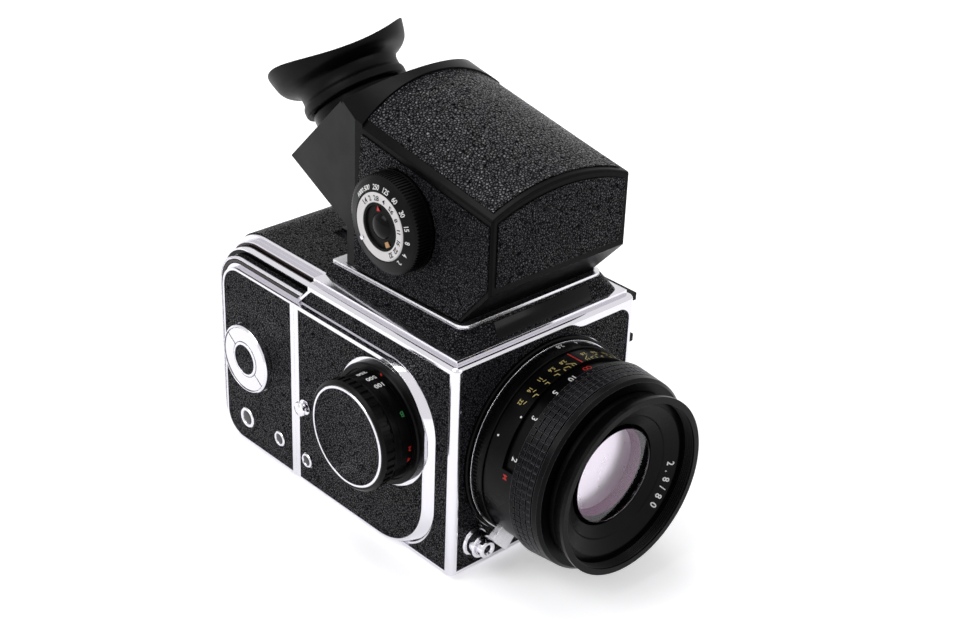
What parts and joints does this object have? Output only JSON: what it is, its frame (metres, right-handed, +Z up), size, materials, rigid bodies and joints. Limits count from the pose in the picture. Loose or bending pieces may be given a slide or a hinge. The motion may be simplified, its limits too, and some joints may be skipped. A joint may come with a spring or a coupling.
{
  "type": "medium format film camera",
  "caption": "Medium format reflex film camera: box body with side winding knob, removable film magazine, metered eye-level prism finder and interchangeable standard lens.",
  "frame": {"origin": "centre of the tripod socket on the face of the foot under the body", "axes": "+Z up, the lens looks along -Y, the film magazine is on the +Y side, the winding knob is on the -X side"},
  "size_m": [0.1096, 0.1837, 0.1694],
  "materials": {
    "chrome": "bright plated, polished",
    "shell_enamel": "semi-gloss black",
    "leatherette": "fine pebble grain, black",
    "satin_black": "satin black",
    "anodised": "satin black anodised",
    "knob_plastic": "moulded black, ribbed",
    "scale_white": "satin white with black figures",
    "rubber": "matt black",
    "glass": "coated",
    "ground_glass": "ground",
    "mirror_silver": "front silvered",
    "dull_steel": "fine brushed",
    "curtain_cloth": "rubberised cloth, black",
    "spool_plastic": "moulded black",
    "film_paper": "paper backed film"
  },
  "bodies": {
    "camera": {"body_shell": "chrome", "tripod_foot": "shell_enamel", "side_plate_wind": "chrome", "side_plate_plain": "chrome", "side_leathers": "leatherette", "corner_leathers": "leatherette", "front_leather": "leatherette", "top_collar": "shell_enamel", "collar_strip": "chrome", "collar_leather": "leatherette", "lens_mount_ring": "anodised", "knob_dish": "chrome", "index_flange": "anodised", "strap_lugs": "chrome", "accessory_shoe": "anodised", "sync_socket": "dull_steel", "focusing_screen": "ground_glass", "shutter_curtain": "curtain_cloth", "release_sleeve": "chrome", "body_signal_window": "chrome"},
    "take_up_drum": {"curtain_drum_take_up": "dull_steel"},
    "supply_drum": {"curtain_drum_supply": "dull_steel"},
    "release": {"release_button": "chrome"},
    "knob": {"wind_knob": "knob_plastic", "knob_ring": "chrome", "knob_leather": "leatherette"},
    "speed_dial": {"speed_collar": "anodised"},
    "mirror": {"mirror_frame": "dull_steel", "mirror_glass": "mirror_silver"},
    "finder": {"prism_housing": "satin_black", "prism_glass": "glass", "roof_leather": "leatherette", "prism_side_leathers": "leatherette", "prism_front_leather": "leatherette", "eyepiece_tube": "anodised", "eyepiece_lens": "glass", "meter_index_disc": "satin_black"},
    "eyecup": {"eyecup": "rubber"},
    "meter_speed": {"meter_speed_ring": "knob_plastic"},
    "meter_stop": {"meter_stop_ring": "scale_white"},
    "lens": {"lens_barrel": "anodised", "rear_element": "glass"},
    "aperture": {"aperture_ring": "anodised"},
    "focus": {"focus_ring": "anodised"},
    "lens_front": {"front_barrel": "anodised", "name_ring": "anodised", "front_element": "glass"},
    "stop_down": {"stop_down_tab": "dull_steel"},
    "magazine": {"magazine_shell": "chrome", "magazine_leather": "leatherette"},
    "insert": {"insert_plate": "chrome", "insert_leather": "leatherette", "magazine_windows": "chrome"},
    "full_spool": {"film_spool_full": "film_paper"},
    "empty_spool": {"film_spool_empty": "spool_plastic"},
    "key": {"film_key": "chrome"},
    "bow_upper": {"key_bow_upper": "chrome"},
    "bow_lower": {"key_bow_lower": "chrome"},
    "slide": {"dark_slide": "dull_steel"},
    "catch": {"magazine_catch": "chrome"}
  },
  "joints": [
    {"name": "knob_turn", "type": "hinge", "parent": "camera", "child": "knob", "pos_m": [-0.05, -0.007, 0.0505], "axis": [-1, 0, 0], "continuous": true},
    {"name": "take_up_turn", "type": "hinge", "parent": "camera", "child": "take_up_drum", "pos_m": [0.0356, 0.037, 0.044], "axis": [0, 0, 1], "continuous": true},
    {"name": "supply_turn", "type": "hinge", "parent": "camera", "child": "supply_drum", "pos_m": [-0.0356, 0.037, 0.044], "axis": [0, 0, 1], "continuous": true},
    {"name": "speed_turn", "type": "hinge", "parent": "camera", "child": "speed_dial", "pos_m": [-0.05, -0.007, 0.0505], "axis": [-1, 0, 0], "range_deg": [0, 300]},
    {"name": "release_press", "type": "slide", "parent": "camera", "child": "release", "axis": [0, 1, 0], "range_m": [0, 0.0025], "stiffness_N_per_m": 800, "springref_m": -0.0005},
    {"name": "mirror_swing", "type": "hinge", "parent": "camera", "child": "mirror", "pos_m": [0, 0.0245, 0.0715], "axis": [-1, 0, 0], "range_deg": [0, 45]},
    {"name": "finder_off", "type": "slide", "parent": "camera", "child": "finder", "axis": [0, 1, 0], "range_m": [0, 0.1]},
    {"name": "eyecup_turn", "type": "hinge", "parent": "finder", "child": "eyecup", "pos_m": [0, 0.0565, 0.13379], "axis": [0, 0.6699, 0.7424], "range_deg": [-90, 90]},
    {"name": "meter_speed_turn", "type": "hinge", "parent": "finder", "child": "meter_speed", "pos_m": [-0.036, -0.001, 0.1228], "axis": [-1, 0, 0], "range_deg": [-120, 120]},
    {"name": "meter_stop_turn", "type": "hinge", "parent": "finder", "child": "meter_stop", "pos_m": [-0.036, -0.001, 0.1228], "axis": [-1, 0, 0], "range_deg": [-120, 120]},
    {"name": "lens_off", "type": "slide", "parent": "camera", "child": "lens", "axis": [0, -1, 0], "range_m": [0, 0.03]},
    {"name": "aperture_turn", "type": "hinge", "parent": "lens", "child": "aperture", "pos_m": [0, -0.053, 0.0448], "axis": [0, -1, 0], "range_deg": [0, 55]},
    {"name": "focus_turn", "type": "hinge", "parent": "lens", "child": "focus", "pos_m": [0, -0.053, 0.0448], "axis": [0, -1, 0], "range_deg": [0, 200]},
    {"name": "front_extend", "type": "slide", "parent": "lens", "child": "lens_front", "axis": [0, -1, 0], "range_m": [0, 0.008]},
    {"name": "stop_down_turn", "type": "hinge", "parent": "lens", "child": "stop_down", "pos_m": [0, -0.053, 0.0448], "axis": [0, -1, 0], "range_deg": [0, 20]},
    {"name": "magazine_off", "type": "slide", "parent": "camera", "child": "magazine", "axis": [0, 1, 0], "range_m": [0, 0.04]},
    {"name": "catch_slide", "type": "slide", "parent": "magazine", "child": "catch", "axis": [-1, 0, 0], "range_m": [0, 0.004], "stiffness_N_per_m": 300},
    {"name": "dark_slide_out", "type": "slide", "parent": "magazine", "child": "slide", "axis": [1, 0, 0], "range_m": [0, 0.062]},
    {"name": "insert_out", "type": "slide", "parent": "magazine", "child": "insert", "axis": [-1, 0, 0], "range_m": [0, 0.078]},
    {"name": "key_turn", "type": "hinge", "parent": "insert", "child": "key", "pos_m": [-0.046, 0.071, 0.0418], "axis": [-1, 0, 0], "continuous": true},
    {"name": "bow_upper_fold", "type": "hinge", "parent": "key", "child": "bow_upper", "pos_m": [-0.0469, 0.07054, 0.04245], "axis": [0, -0.8192, -0.5736], "range_deg": [0, 90]},
    {"name": "bow_lower_fold", "type": "hinge", "parent": "key", "child": "bow_lower", "pos_m": [-0.0469, 0.07146, 0.04115], "axis": [0, 0.8192, 0.5736], "range_deg": [0, 90]},
    {"name": "full_spool_turn", "type": "hinge", "parent": "insert", "child": "full_spool", "pos_m": [0, 0.069, 0.021], "axis": [-1, 0, 0], "continuous": true},
    {"name": "empty_spool_turn", "type": "hinge", "parent": "insert", "child": "empty_spool", "pos_m": [0, 0.069, 0.06], "axis": [-1, 0, 0], "continuous": true}
  ],
  "couplings": [
    {"joint": "take_up_turn", "follows": "knob_turn", "ratio": 1},
    {"joint": "supply_turn", "follows": "knob_turn", "ratio": 1},
    {"joint": "focus_turn", "follows": "front_extend", "rad_per_m": 436.33},
    {"joint": "empty_spool_turn", "follows": "key_turn", "ratio": 1}
  ]
}
